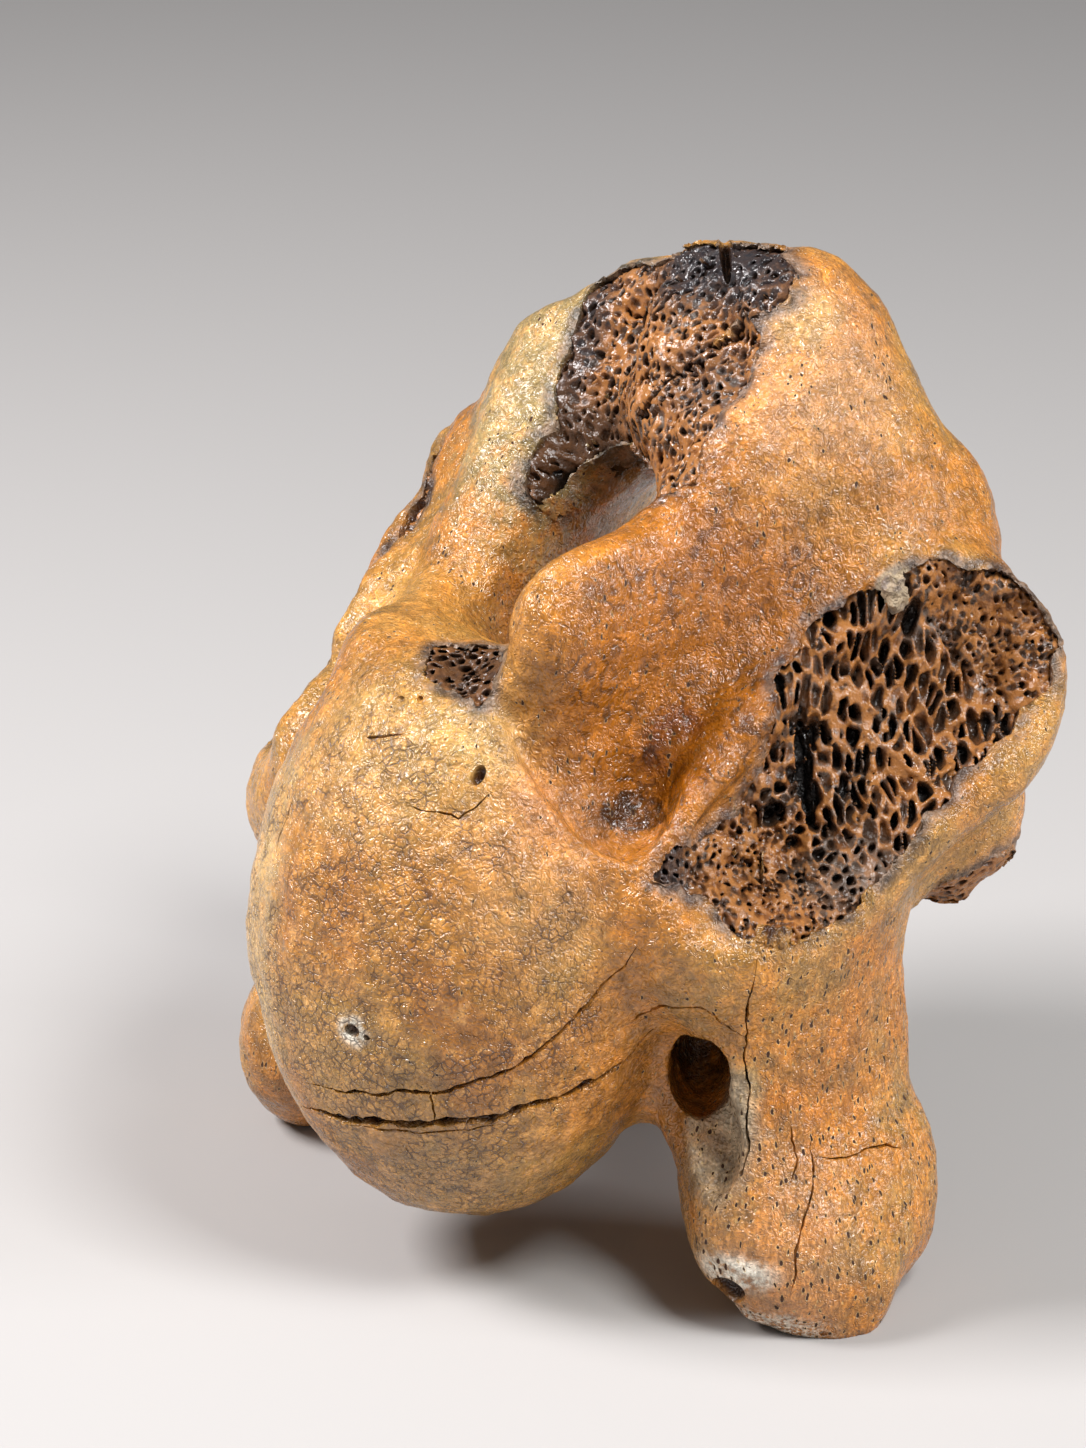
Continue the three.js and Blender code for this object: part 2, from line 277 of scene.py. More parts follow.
# Steps in the surface, where one part of the bone dips behind another: path, way it dips, depth, and how
# far the dip takes to rise again.
STEPS = [
    (
        [
            (12, -29, 90), (16, -28, 83), (20.9, -27.2, 78), (24.5, -25.4, 73.2), (28.5, -22.5, 69.8),
            (33, -21.7, 68.6),
        ],
        (0.18, 0.8, 0.45), 3.2, 11,
    ),
]
STEP_START = 1.3  # how far before the path the surface starts down
STEP_RUN = 1.8  # over how much it goes down
STEP_BREADTH = 6


def pushed(co):
    for centre, reach, push in PUSHES:
        near = np.clip(1 - (np.linalg.norm(co - centre, axis=1) / reach) ** 2, 0, 1) ** 2
        co = co + near[:, None] * np.array(push)
    return co


def step_depths(co, path, way, depth, reach):
    """How far each point goes down behind the step along this path."""
    way = np.array(way) / np.linalg.norm(way)
    best = np.full(len(co), np.inf)
    across, ease = np.zeros(len(co)), np.zeros(len(co))
    lengths = np.linalg.norm(np.diff(path, axis=0), axis=1)
    run = 0.0
    for a, b, length in zip(np.array(path, float), np.array(path[1:], float), lengths):
        t = np.clip((co - a) @ (b - a) / length**2, 0, 1)
        gap = co - (a + t[:, None] * (b - a))
        far = np.linalg.norm(gap, axis=1)
        closer = far < best
        best = np.where(closer, far, best)
        across = np.where(closer, gap @ way, across)
        done = (run + t * length) / lengths.sum()
        ease = np.where(closer, np.clip(np.minimum(done, 1 - done) * 5 + 0.25, 0, 1), ease)
        run += length
    beside = np.sqrt(np.maximum(best**2 - across**2, 0))
    rise = np.clip((across + STEP_START) / STEP_RUN, 0, 1)
    fade = np.exp(-(np.maximum(across - 0.5, 0) / reach) ** 2)
    dip = rise**2 * (3 - 2 * rise) * fade * (best < 3 * reach)
    return depth * dip * ease * np.exp(-(beside / STEP_BREADTH) ** 2)


def smooth_form():
    every = [n for names in SHELL_NODES.values() for n in names] + SPONGY_NODES
    o = merged_copy("form", every)
    modify(o, "DISPLACE", strength=SEAM_FILL, mid_level=0)
    modify(o, "REMESH", mode="VOXEL", voxel_size=FORM_VOXEL, use_smooth_shade=True)
    modify(o, "SMOOTH", factor=0.5, iterations=FORM_SMOOTHING)
    co = pushed(points_of(o) / MM)
    put_points(o, co * MM)
    normals = np.empty(len(co) * 3, np.float32)
    o.data.vertices.foreach_get("normal", normals)
    for step in STEPS:
        co -= normals.reshape(-1, 3) * step_depths(co, *step)[:, None]
    put_points(o, co * MM)
    return o


def ellipsoid(name, centre, radii, turns):
    """An oval lump in millimetres, turned by these many degrees about x, y and z."""
    bpy.ops.object.select_all(action="DESELECT")
    bpy.ops.mesh.primitive_uv_sphere_add(segments=32, ring_count=20)
    o = bpy.context.object
    o.name = name
    turned = Euler([math.radians(t) for t in turns]).to_matrix().to_4x4()
    sized = Matrix.Diagonal((*(Vector(radii) * MM), 1))
    o.data.transform(Matrix.Translation(Vector(centre) * MM) @ turned @ sized)
    return o


LUMPS = [
    # stone-like chips stuck at the edges of the left break: centre, radii, turns
    ((42.5, 19, 98), (1.7, 2.0, 3.0), (20, 0, 20)),
    ((47.5, -11.5, 59), (2.6, 1.8, 1.8), (0, 0, 42)),
]


def cut(o, tool, operation="DIFFERENCE"):
    modify(o, "BOOLEAN", object=tool, operation=operation, solver="MANIFOLD")


form = smooth_form()
# The hole between the body and the left plate, which the artery ran through.
HOLES = [
    ((34.9, -10.6, 36.4), (4.7, 11, 7.6), (0, 6, 42)),
    ((40, -15.5, 29.5), (4.6, 5.2, 9), (-10, -8, 42)),
]
for shape in HOLES:
    hole = ellipsoid("hole", *shape)
    cut(form, hole)
    remove(hole)
modify(form, "REMESH", mode="VOXEL", voxel_size=SKIN_VOXEL, use_smooth_shade=True)
modify(form, "SMOOTH", factor=0.5, iterations=SKIN_SMOOTHING)


# ---------- relief of the outer bone ----------
def lumpy(o, size, height):
    texture = bpy.data.textures.new("lumps", "CLOUDS")
    texture.noise_scale = size * MM
    texture.noise_depth = 1
    modify(o, "DISPLACE", texture=texture, texture_coords="LOCAL", strength=2 * height * MM, mid_level=0.5)


for size, height in LUMPINESS:
    lumpy(form, size, height)
low, high = (np.array(c) for c in cad_box)
put_points(form, np.clip(points_of(form), low, high))


# ---------- breaks ----------
# Each break has a frame of its own: x along it, y across it and z out of it, in millimetres.
#   centre, along, facing: where the frame sits, its x and its z
#   outline, reach: the edge of the break and how deep it goes
#   recess: how far the tops of the walls lie below the bone's surface, least and most
#   cell, wall, web: the size of the cells, and how thick their walls are at the top and how much more below
#   open: the share of the cells that run deep
#   grain, stretch, tall: the cells are long in the direction `grain`, in degrees from x, by `stretch`, and
#     they are so between these four places along x
#   ends: cells are smaller before the first two and after the last two of these places along x
#   low, high, steepest: no wall stands on bone that lies or leans beyond these
#   detail: the spacing of the grid that the walls are meshed on
#   voids: middle, radii and turn of larger gaps
BREAKS = {
    "spongiosa_flank_left": dict(
        centre=(45.4, 8.1, 77.1), along=(0.229, 0.809, 0.542), facing=(0.7, -0.524, 0.486),
        outline=[
            (-31.5, 9), (-25, 8), (-20, 7), (-14.5, 6.8), (-9, 8.5), (-4, 13), (0.5, 16), (7, 17.5),
            (15.5, 16.5), (22, 14), (27, 12), (32.5, 5), (34, -1), (32, -6.5), (26, -10), (17, -11), (5, -11),
            (-15, -13), (-23, -11.5), (-27.5, -5), (-28, 2.5),
        ],
        reach=4.2, recess=(0.4, 1.9), cell=1.5, wall=0.07, web=0.28, open=0.75, grain=47, stretch=2.6,
        tall=(-10, -3, 21, 27), ends=(-15, -10, 19, 24), steepest=0.15, detail=0.335,
        voids=[
            ((-4.5, 4.3, 2), (7.8, 1.2, 4), 54),
            ((-12, 3, 1.5), (2, 1.6, 2.5), 0),
            ((20, 9, 2), (2.5, 1.2, 2.5), 47),
        ],
    ),
    "spongiosa_flank_right": dict(
        centre=(-45.4, 8.1, 77.1), along=(-0.229, 0.809, 0.542), facing=(-0.7, -0.524, 0.486),
        outline=[
            (-24, -8), (-14, -9.5), (-5, -12), (5, -14.5), (15, -14.5), (23, -12), (28, -5), (29, 2), (23, 9),
            (12, 11), (0, 12), (-12, 12), (-21, 9), (-26, 0),
        ],
        reach=4.4, recess=(0.4, 1.8), cell=1.7, wall=0.12, web=0.4, open=0.55, grain=-47, stretch=2.4,
        tall=(-8, 0, 16, 24), voids=[], detail=0.4,
    ),
    "spongiosa_spine": dict(
        centre=(1.5, 15.1, 122), along=(0.35, 0, 1), facing=(-0.28, -0.7, 0.65),
        outline=[
            (4, 21.5), (-2.5, 24), (-5.5, 22.5), (-11, 16.5), (-17.5, 10), (-22, 7), (-26, 2.5), (-24, -3),
            (-18, -8), (-12, -14), (-8, -21), (-4, -25), (-0.5, -26), (1.5, -23.5), (6, -17.3), (11.2, -13.6),
            (15.7, -10.9), (16, -6.6), (19.5, -8.5), (22.7, -7.8), (24.7, -3), (24, 3), (19.8, 8.6),
            (14.6, 13), (9, 18),
        ],
        reach=4.5, recess=(0.2, 1.5), cell=1.25, wall=0.1, web=0.35, open=0.78, grain=30,
        low=-8.5, steepest=0.42, detail=0.338,
        voids=[],
    ),
    "spongiosa_canal_rim": dict(
        centre=(5, -23, 89), along=(0.8, 0.6, 0), facing=(0.35, -0.6, 0.72),
        outline=[(-7, 4.5), (-6.5, -1), (-5, -2), (0.5, -6), (3, -5.5), (3.5, -1), (2.5, 4), (-3.5, 6.5)],
        reach=3.5, recess=(0.3, 0.9), cell=1.2, wall=0.06, web=0.1, open=0.9, grain=0, low=-5, voids=[],
    ),
    "spongiosa_tubercle_left": dict(
        centre=(45, 31.1, 51), along=(0.8, 0.55, 0.1), facing=(0.45, -0.55, -0.7),
        outline=[(-9, 3), (-3, 5.5), (5, 5), (9, 1), (8, -4), (1, -6), (-7, -4)],
        reach=4, recess=(0.3, 1.0), cell=1.4, wall=0.14, web=0.4, open=0.6, grain=0, low=-5, high=3, voids=[],
    ),
    "spongiosa_tubercle_right": dict(
        centre=(-45, 31.1, 51), along=(-0.8, 0.55, 0.1), facing=(-0.45, -0.55, -0.7),
        outline=[(-8, 3), (-2, 5), (5, 5.5), (9, 0), (7, -4), (0, -5.5), (-7, -4)],
        reach=4, recess=(0.3, 1.0), cell=1.5, wall=0.14, web=0.4, open=0.6, grain=0, low=-5, high=3, voids=[],
    ),
}
LIMITS = dict(low=-9, high=30, steepest=0.3, detail=0.3)  # where a break doesn't give its own
CUT_DETAIL = 0.5
LOWEST = -18.0  # the level that counts as off the bone
HIGHEST = 20.0  # where the search for the bone's surface starts
HOLLOW_TOP = 12.0
HOLLOW_EXTRA = 0.6  # how much deeper than its reach a hollow is cut
FOOTING = 1.0  # how much deeper than the reach the walls stand
OUTLINE_STEP = 0.7
WELL_DEPTH = 2.6  # how far below the tops of the walls an open cell goes
BAND = 0.04  # over this much chance a cell turns from a shut one to an open one
WEAR_SEED = 7
noise.seed_set(WEAR_SEED)


def ragged_outline(corners, seed):
    """A flat face with this outline, worn to an uneven line."""
    ring = []
    for a, b in zip(corners, corners[1:] + corners[:1]):
        a, b = Vector((*a, 0)), Vector((*b, 0))
        steps = max(2, round((b - a).length / OUTLINE_STEP))
        for i in range(steps):
            p = a.lerp(b, i / steps)
            wear = noise.noise_vector(p * 0.22 + Vector((0, 0, seed))) * 1.6
            wear += noise.noise_vector(p * 0.75 + Vector((0, 0, seed))) * 0.7
            ring.append((p.x + wear.x, p.y + wear.y, 0))
    mesh = bpy.data.meshes.new("outline")
    mesh.from_pydata(ring, [], [tuple(range(len(ring)))])
    return new_object("outline", mesh)


def frame_of(face):
    out = Vector(face["facing"]).normalized()
    along = Vector(face["along"])
    along = (along - out * along.dot(out)).normalized()
    turned = Matrix((along, out.cross(along), out)).transposed().to_4x4()
    return Matrix.Translation(Vector(face["centre"]) * MM) @ turned @ Matrix.Scale(MM, 4)


def break_fields(tree, outline, surface):
    """The place in a break's frame, how far it lies inside the outline, and the bone's level and slope."""
    position = tree.nodes.new("GeometryNodeInputPosition").outputs[0]
    x, y, z = split_axes(tree, position)
    flat = joined_axes(tree, x, y, 0.0)
    face = geometry_of(tree, outline)
    gap = {}
    for kind in ("EDGES", "FACES"):
        n = tree.nodes.new("GeometryNodeProximity")
        n.target_element = kind
        plug(tree, n.inputs[0], face)
        plug(tree, n.inputs["Sample Position"], flat)
        gap[kind] = Field(tree, n.outputs["Distance"])
    within = gap["EDGES"] * (gap["FACES"].math("LESS_THAN", 1e-3) * 2.0 - 1.0)
    hit = node(
        tree, "GeometryNodeRaycast",
        {
            "Target Geometry": geometry_of(tree, surface),
            "Source Position": joined_axes(tree, x, y, HIGHEST),
            "Ray Direction": (0, 0, -1),
            "Ray Length": HIGHEST - LOWEST,
        },
    )
    struck = Field(tree, hit.outputs["Is Hit"])
    level = (-Field(tree, hit.outputs["Hit Distance"]) + (HIGHEST - LOWEST)) * struck + LOWEST
    slope = split_axes(tree, hit.outputs["Hit Normal"])[2]
    return position, (x, y, z), within, (level, slope)


def meshed(tree, density, low, high, detail):
    size = [h - l for l, h in zip(low, high)]
    box = node(
        tree, "GeometryNodeVolumeCube",
        {
            "Density": density, "Background": -1.0, "Min": low, "Max": high,
            "Resolution X": int(size[0] / detail), "Resolution Y": int(size[1] / detail),
            "Resolution Z": int(size[2] / detail),
        },
    )
    mesh = node(tree, "GeometryNodeVolumeToMesh", {"Volume": box.outputs[0], "Threshold": 0.0})
    return mesh.outputs[0]


def corners_of(face, low, high):
    xs, ys = zip(*face["outline"])
    return (min(xs) - 3, min(ys) - 3, low), (max(xs) + 3, max(ys) + 3, high)


def limited(face, density, level):
    """The density with nothing left where the bone lies lower or higher than the break's limits."""
    return density.least(level - face["low"]).least(-level + face["high"])


def break_hollow(name, face, outline, surface):
    """The space that the break takes out of the bone."""
    tree, _, end = geometry_tree("hollow")
    _, (_, _, z), within, (level, _) = break_fields(tree, outline, surface)
    density = within.least(z - level + (face["reach"] + HOLLOW_EXTRA)).least(-z + HOLLOW_TOP)
    corners = corners_of(face, LOWEST - 2, HOLLOW_TOP + 2)
    tree.links.new(meshed(tree, limited(face, density, level), *corners, CUT_DETAIL), end)
    o = new_object(name, bpy.data.meshes.new(name))
    nodes_modifier(o, tree)
    o.data.transform(frame_of(face))
    return o


def cell_pattern(tree, position, size, randomness=1.0):
    """The distance to a cell's edge, and a chance from 0 to 1 that is the same all over the cell."""
    edge = cells(tree, position, size, "DISTANCE_TO_EDGE", randomness)
    n = node(tree, "ShaderNodeTexVoronoi", {"Vector": position, "Scale": 1 / size, "Randomness": randomness})
    return edge * size, split_axes(tree, n.outputs["Color"])[0]


def blended(share, first, second):
    """A pattern that goes over from the first to the second by a share."""
    rest = -share + 1.0
    return [b * share + a * rest for a, b in zip(first, second)]


def cell_layout(tree, face, position, x):
    """The pattern of a break's cells: even ones, long ones in the middle and small ones at the ends."""
    turn = math.radians(face["grain"])
    wx, wy, wz = split_axes(tree, warped(tree, position, 7.0, 1.2))
    along = wx * math.cos(turn) + wy * math.sin(turn)
    across = wy * math.cos(turn) - wx * math.sin(turn)
    cell = face["cell"]
    pattern = cell_pattern(tree, joined_axes(tree, along * 0.8, across, wz * 0.4), cell)
    if "tall" in face:
        a, b, c, d = face["tall"]
        share = x.ramp(a, b).least(x.ramp(c, d, 1.0, 0.0))
        stretched = joined_axes(tree, along * (1 / face["stretch"]), across, wz * 0.3)
        pattern = blended(share, pattern, cell_pattern(tree, stretched, cell, 0.85))
    if "ends" in face:
        a, b, c, d = face["ends"]
        share = x.ramp(a, b, 1.0, 0.0).most(x.ramp(c, d))
        even = joined_axes(tree, along, across, wz * 0.4)
        pattern = blended(share, pattern, cell_pattern(tree, even, 0.7 * cell))
    return pattern


def void_gap(tree, position, place, centre, radii, angle):
    """How far a place lies outside a ragged oval gap."""
    x, y, depth = place
    spin = math.radians(angle)
    vx, vy = x - centre[0], y - centre[1]
    along = vx * math.cos(spin) + vy * math.sin(spin)
    across = vy * math.cos(spin) - vx * math.sin(spin)
    gap = joined_axes(
        tree, along * (1 / radii[0]), across * (1 / radii[1]), (depth - centre[2]) * (1 / radii[2])
    )
    ragged = cloud(tree, position, 1.6, 1.0) * 0.9 - 1.45
    return (Field(tree, vector(tree, "LENGTH", gap)) + ragged) * min(radii)


def spongy_bone(name, face, outline, surface):
    """Thin walls round small cells, standing on the floor of the break. They are meshed in a flat slab, whose
    height is the depth below the bone's surface, and then laid on that surface."""
    tree, _, end = geometry_tree("spongy")
    position, (x, y, depth), within, (level, slope) = break_fields(tree, outline, surface)
    edge, chance = cell_layout(tree, face, position, x)
    shallow, deep = face["recess"]
    top = cloud(tree, position, 5.0, 2.0, 0.6, offset=(30, 0, 0)).ramp(0.3, 0.7, shallow, deep)
    top = top + cloud(tree, position, 1.1, 1.0, offset=(0, 30, 0)) * 0.6 - 0.3
    below = depth - top

    shut = chance.ramp(face["open"] - BAND, face["open"] + BAND, 0.35, 1.0)
    thick = cloud(tree, position, 3.0, 1.0) * 0.2 + (face["wall"] - 0.1) + below.least(0.45).most(0.0) * 0.3
    spread = cloud(tree, position, 4.0, 0.0, offset=(7, 7, 7)).ramp(0.3, 0.7, 0.2, 0.9) * face["web"]
    thick = thick + below.least(1.5).most(0.0) * spread * shut
    holes = cloud(tree, position, 1.5, 0.0, offset=(9, 4, 2)).ramp(0.6, 0.75) * depth.ramp(0.4, 2.4) * 0.4
    wall = thick - edge - holes

    middle = edge * (1 / face["cell"])
    well = chance.ramp(face["open"] - BAND, face["open"] + BAND, WELL_DEPTH, 0.0)
    floor = below - middle.ramp(0.0, 0.42) * (chance * 0.6 + 0.5) - middle.ramp(0.0, 0.16) * well
    density = wall.most(floor * 0.7).least(depth - top).least(-depth + (face["reach"] + FOOTING))
    density = limited(face, density.least(within + 0.6), level).least((slope - face["steepest"]) * 3.0)
    for centre, radii, angle in face["voids"]:
        density = density.least(void_gap(tree, position, (x, y, depth), centre, radii, angle))

    corners = corners_of(face, -0.8, face["reach"] + 2.0)
    kept = node(
        tree, "GeometryNodeStoreNamedAttribute",
        {"Geometry": meshed(tree, density, *corners, face["detail"]), "Name": "depth", "Value": depth - top},
        data_type="FLOAT", domain="POINT",
    )
    laid_level = level.most(face["low"]).least(face["high"])
    laid = node(
        tree, "GeometryNodeSetPosition",
        {"Geometry": kept.outputs[0], "Position": joined_axes(tree, x, y, laid_level - depth)},
    )
    turned = node(tree, "GeometryNodeFlipFaces", {"Mesh": laid.outputs[0]})
    tree.links.new(turned.outputs[0], end)
    o = new_object(name, bpy.data.meshes.new(name))
    nodes_modifier(o, tree)
    o.data.transform(frame_of(face))
    return o


hollows = []
spongy = {}
for number, (name, given) in enumerate(BREAKS.items()):
    face = LIMITS | given
    outline = ragged_outline(face["outline"], 7.3 * number)
    surface = new_object("surface", form.data.copy())
    surface.data.transform(frame_of(face).inverted())
    hollows.append(break_hollow("hollow", face, outline, surface))
    spongy[name] = spongy_bone(name.replace("spongiosa", "spongy"), face, outline, surface)
    remove(outline, surface)

# ---------- cracks ----------
CRACKS = [
    # path, width at its widest, depth
    ([(-5.9, -45.7, 33), (5.2, -46.4, 35.5), (15.3, -43.3, 37.6), (22.2, -38.9, 40.5), (25.7, -34.9, 43.2),
      (28.6, -30, 47.6), (32.3, -24.2, 54.7), (34.3, -23.5, 58)], 0.75, 1.6),
    ([(-9, -43, 27.5), (-4.4, -44.4, 28.8), (3.9, -45.1, 30), (13.1, -42.9, 32.3), (20.1, -38.7, 33.5),
      (24.7, -33.8, 35), (28.1, -27.3, 36.7), (29.7, -21, 38.7), (32.6, -18.4, 44)], 1.8, 2.6),
    ([(1, -45, 28.5), (10, -43.6, 30), (17, -40.5, 31.4), (22, -36.5, 32.6)], 0.45, 0.9),
    ([(15.3, -43.3, 37.6), (15, -42.5, 33)], 0.4, 1.0),
    ([(29, -21, 45.5), (32.4, -20.8, 47), (36, -20, 48.8), (41, -18.6, 49.7), (45, -13.6, 44)], 0.55, 1.0),
    ([(47.2, -14.5, 57), (46.6, -15, 51), (45.1, -13.1, 43.5), (44.7, -12.7, 36), (44.7, -12.7, 30.3),
      (45.1, -14.3, 25), (43.1, -15.4, 21.8)], 0.5, 1.0),
    ([(48.2, -8, 30.2), (49.5, -8.5, 26), (50, -10.5, 23)], 0.4, 0.9),
    ([(49.4, -4.8, 29), (49.9, -6.3, 26.7), (51.1, -6.6, 23.4), (52, -8.6, 20.7), (52.5, -11.8, 14.6),
      (52, -12, 8.4)], 0.45, 1.0),
    ([(50.5, -5.8, 25.6), (52.4, 2, 24.4), (53.7, 9, 22.5)], 0.5, 0.8),
    ([(-2, -40, 84), (4, -37, 84.5)], 0.4, 0.8),
    ([(-12, -42, 72), (-13, -44, 64)], 0.35, 0.8),
    ([(8, -40, 76), (14, -36, 74), (17, -33, 78)], 0.35, 0.8),
]


PITS = [
    # centre, radii, turns
    ((15, -33.5, 80), (0.8, 1.5, 1.4), (20, 0, 0)),
    ((0, -33, 86.5), (1.0, 1.2, 0.5), (0, 0, 0)),
    ((3, -32, 87), (0.5, 1.2, 0.4), (0, 0, 30)),
    ((5.3, -48, 45), (1.2, 0.9, 1.0), (0, 0, 0)),
    ((7.5, -47.5, 44.5), (0.5, 0.8, 0.5), (0, 0, 0)),
    ((45, -17, 7.2), (2.5, 4, 2.6), (0, -25, 42)),
    ((52, -13.5, 2), (1.0, 2.5, 1.4), (0, 10, 42)),
    ((48.5, -15.5, 1), (1.3, 2.5, 1.0), (0, -10, 42)),
    ((56, -9.5, 1), (1.2, 2.5, 0.9), (0, 0, 42)),
    ((21, -8, 90), (0.8, 1.5, 0.7), (0, 0, 0)),
]
NOTCH = ((5, 27, 139.5), (1.0, 11, 7.5), (0, -5, 42))  # in the top of the spine


CRACK_STEP = 0.9  # spacing of the points along a crack
CRACK_RISE = 0.8  # how far a crack's tool stands out of the bone


def crack(path, width, depth, tree_of_form, seed):
    """A thin wedge that follows the bone's surface between these points."""
    stations = []
    for a, b in zip(path, path[1:]):
        a, b = Vector(a) * MM, Vector(b) * MM
        steps = max(2, round((b - a).length / (CRACK_STEP * MM)))
        stations += [a.lerp(b, i / steps) for i in range(steps)]
    stations.append(Vector(path[-1]) * MM)
    snapped = [tree_of_form.find_nearest(p)[:2] for p in stations]
    verts, faces = [], []
    last = len(snapped) - 1
    for i, (p, n) in enumerate(snapped):
        ahead = snapped[min(i + 1, last)][0] - snapped[max(i - 1, 0)][0]
        side = n.cross(ahead).normalized()
        t = i / last
        shift = noise.noise(Vector((i * 0.17, seed, 0))) * 1.0 + noise.noise(Vector((i * 0.7, seed, 5))) * 0.3
        swell = max(0.06, min(1.0, 6 * t, 6 * (1 - t)))
        swell *= 0.75 + 0.8 * noise.noise(Vector((i * 0.45, seed, 9)))
        swell = max(swell, 0.12)
        centre = p + side * shift * MM * min(1.0, 5 * t, 5 * (1 - t))
        w = width * swell * MM / 2
        d = depth * min(1.0, swell + 0.2) * MM
        rise = CRACK_RISE * MM
        open_w = w * (d + rise) / d
        verts += [centre + n * rise + side * open_w, centre + n * rise - side * open_w, centre - n * d]
    for i in range(last):
        a, b = 3 * i, 3 * i + 3
        for u, v in ((0, 1), (1, 2), (2, 0)):
            faces.append((a + u, b + u, b + v, a + v))
    faces += [(2, 1, 0), (3 * last, 3 * last + 1, 3 * last + 2)]
    mesh = bpy.data.meshes.new("crack")
    mesh.from_pydata([tuple(v) for v in verts], [], faces)
    o = new_object("crack", mesh)
    select_only(o)
    bpy.ops.object.mode_set(mode="EDIT")
    bpy.ops.mesh.select_all(action="SELECT")
    bpy.ops.mesh.quads_convert_to_tris()
    bpy.ops.mesh.normals_make_consistent(inside=False)
    bpy.ops.object.mode_set(mode="OBJECT")
    return o


near_form = BVHTree.FromObject(form, bpy.context.evaluated_depsgraph_get())
cracks = [crack(*row, near_form, 3.7 * k) for k, row in enumerate(CRACKS)]

skin = new_object("skin", form.data.copy())
rims = joined("rims", hollows)
clefts = joined("clefts", cracks + [ellipsoid("pit", *shape) for shape in [*PITS, NOTCH]])
notch = ellipsoid("notch", *NOTCH)
cut(spongy["spongiosa_spine"], notch)
remove(notch)
for tool in (rims, clefts):
    cut(skin, tool)
lumps = joined("lumps", [ellipsoid("lump", *shape) for shape in LUMPS])
lumpy(lumps, *CHIP_LUMPINESS)
cut(skin, lumps, "UNION")
remove(lumps)

# ---------- the outer bone in pieces ----------
RIM_REACH = 3.5  # how far from a break the outer bone is worn


def crumpled_rims(o):
    """Wears down and roughens the outer bone beside each break."""
    tree, start, end = geometry_tree("rims")
    position = tree.nodes.new("GeometryNodeInputPosition").outputs[0]
    n = tree.nodes.new("GeometryNodeProximity")
    plug(tree, n.inputs[0], geometry_of(tree, rims))
    plug(tree, n.inputs["Sample Position"], position)
    near = (Field(tree, n.outputs["Distance"]) * (1 / MM)).ramp(0.0, RIM_REACH, 1.0, 0.0)
    p = node(tree, "ShaderNodeVectorMath", {0: position, "Scale": 1 / MM}, operation="SCALE").outputs[0]
    wear = cloud(tree, p, 2.2, 3.0, 0.6, 0.6) * 1.9 - 1.25
    normal = tree.nodes.new("GeometryNodeInputNormal").outputs[0]
    push = node(tree, "ShaderNodeVectorMath", {0: normal, "Scale": near * wear * MM}, operation="SCALE")
    moved = node(tree, "GeometryNodeSetPosition", {"Geometry": start, "Offset": push.outputs[0]})
    tree.links.new(moved.outputs[0], end)
    nodes_modifier(o, tree)


crumpled_rims(skin)
low, high = (np.array(c) for c in cad_box)
put_points(skin, np.clip(points_of(skin), low, high))


def box_between(name, corner, far_corner):
    bpy.ops.object.select_all(action="DESELECT")
    bpy.ops.mesh.primitive_cube_add(size=1)
    o = bpy.context.object
    o.name = name
    a, b = Vector(corner) * MM, Vector(far_corner) * MM
    o.data.transform(Matrix.Translation((a + b) / 2) @ Matrix.Diagonal((*(b - a), 1)))
    return o


SIDE = 31  # how far out the side plates begin
SPRING = 94.5  # the height where the arch begins
WAIST = -14  # where the round head goes over into the body
BOXES = {
    "head_bone": ((-SIDE, -80, -10), (SIDE, WAIST, SPRING)),
    "body_bone": ((-SIDE, WAIST, -10), (SIDE, 80, SPRING)),
    "arch_bone": ((-SIDE, -80, SPRING), (SIDE, 80, 160)),
    "left_side_bone": ((SIDE, -80, -10), (90, 80, 160)),
    "right_side_bone": ((-90, -80, -10), (-SIDE, 80, 160)),
}


def note_distances(o):
    """Keeps how far each point lies from the unbroken surface and from the nearest break, in millimetres."""
    tree, start, end = geometry_tree("distances")
    last = start
    position = tree.nodes.new("GeometryNodeInputPosition").outputs[0]
    for label, target in (("depth", form), ("rim", rims)):
        n = tree.nodes.new("GeometryNodeProximity")
        plug(tree, n.inputs[0], geometry_of(tree, target))
        plug(tree, n.inputs["Sample Position"], position)
        kept = node(
            tree, "GeometryNodeStoreNamedAttribute",
            {"Geometry": last, "Name": label, "Value": Field(tree, n.outputs["Distance"]) * (1 / MM)},
            data_type="FLOAT", domain="POINT",
        )
        last = kept.outputs[0]
    tree.links.new(last, end)
    nodes_modifier(o, tree)


pieces = {}
for name, corners in BOXES.items():
    piece = new_object(name, skin.data.copy())
    tool = box_between("box", *corners)
    cut(piece, tool, "INTERSECT")
    remove(tool)
    note_distances(piece)
    select_only(piece)
    bpy.ops.object.shade_smooth_by_angle(angle=SHARP_ANGLE)
    pieces[name] = piece
remove(skin, form, rims, clefts)

# ---------- materials ----------
TAN = (0.47, 0.185, 0.030, 1)
OCHRE = (0.50, 0.26, 0.060, 1)
OLIVE = (0.32, 0.185, 0.040, 1)
CREAM = (0.74, 0.50, 0.20, 1)
AMBER = (0.50, 0.155, 0.006, 1)
PINK = (0.62, 0.29, 0.115, 1)
PALE = (0.44, 0.33, 0.14, 1)
RUST = (0.20, 0.045, 0.004, 1)
BROWN = (0.055, 0.018, 0.004, 1)
UMBER = (0.050, 0.014, 0.003, 1)
CHARCOAL = (0.020, 0.020, 0.024, 1)
ASH = (0.17, 0.125, 0.095, 1)
# painted highlight: the lighter colour laid on the tops of the spongy walls
EDGE = (0.38, 0.155, 0.042, 1)
WALL = (0.19, 0.068, 0.018, 1)
WALL_DARK = (0.055, 0.027, 0.014, 1)
# painted shade: the near black laid deep in the cracks, breaks and spongy cells
HOLLOW_SHADE = (0.010, 0.006, 0.004, 1)
CHALK = (0.85, 0.82, 0.70, 1)
GRIT = (0.42, 0.32, 0.20, 1)


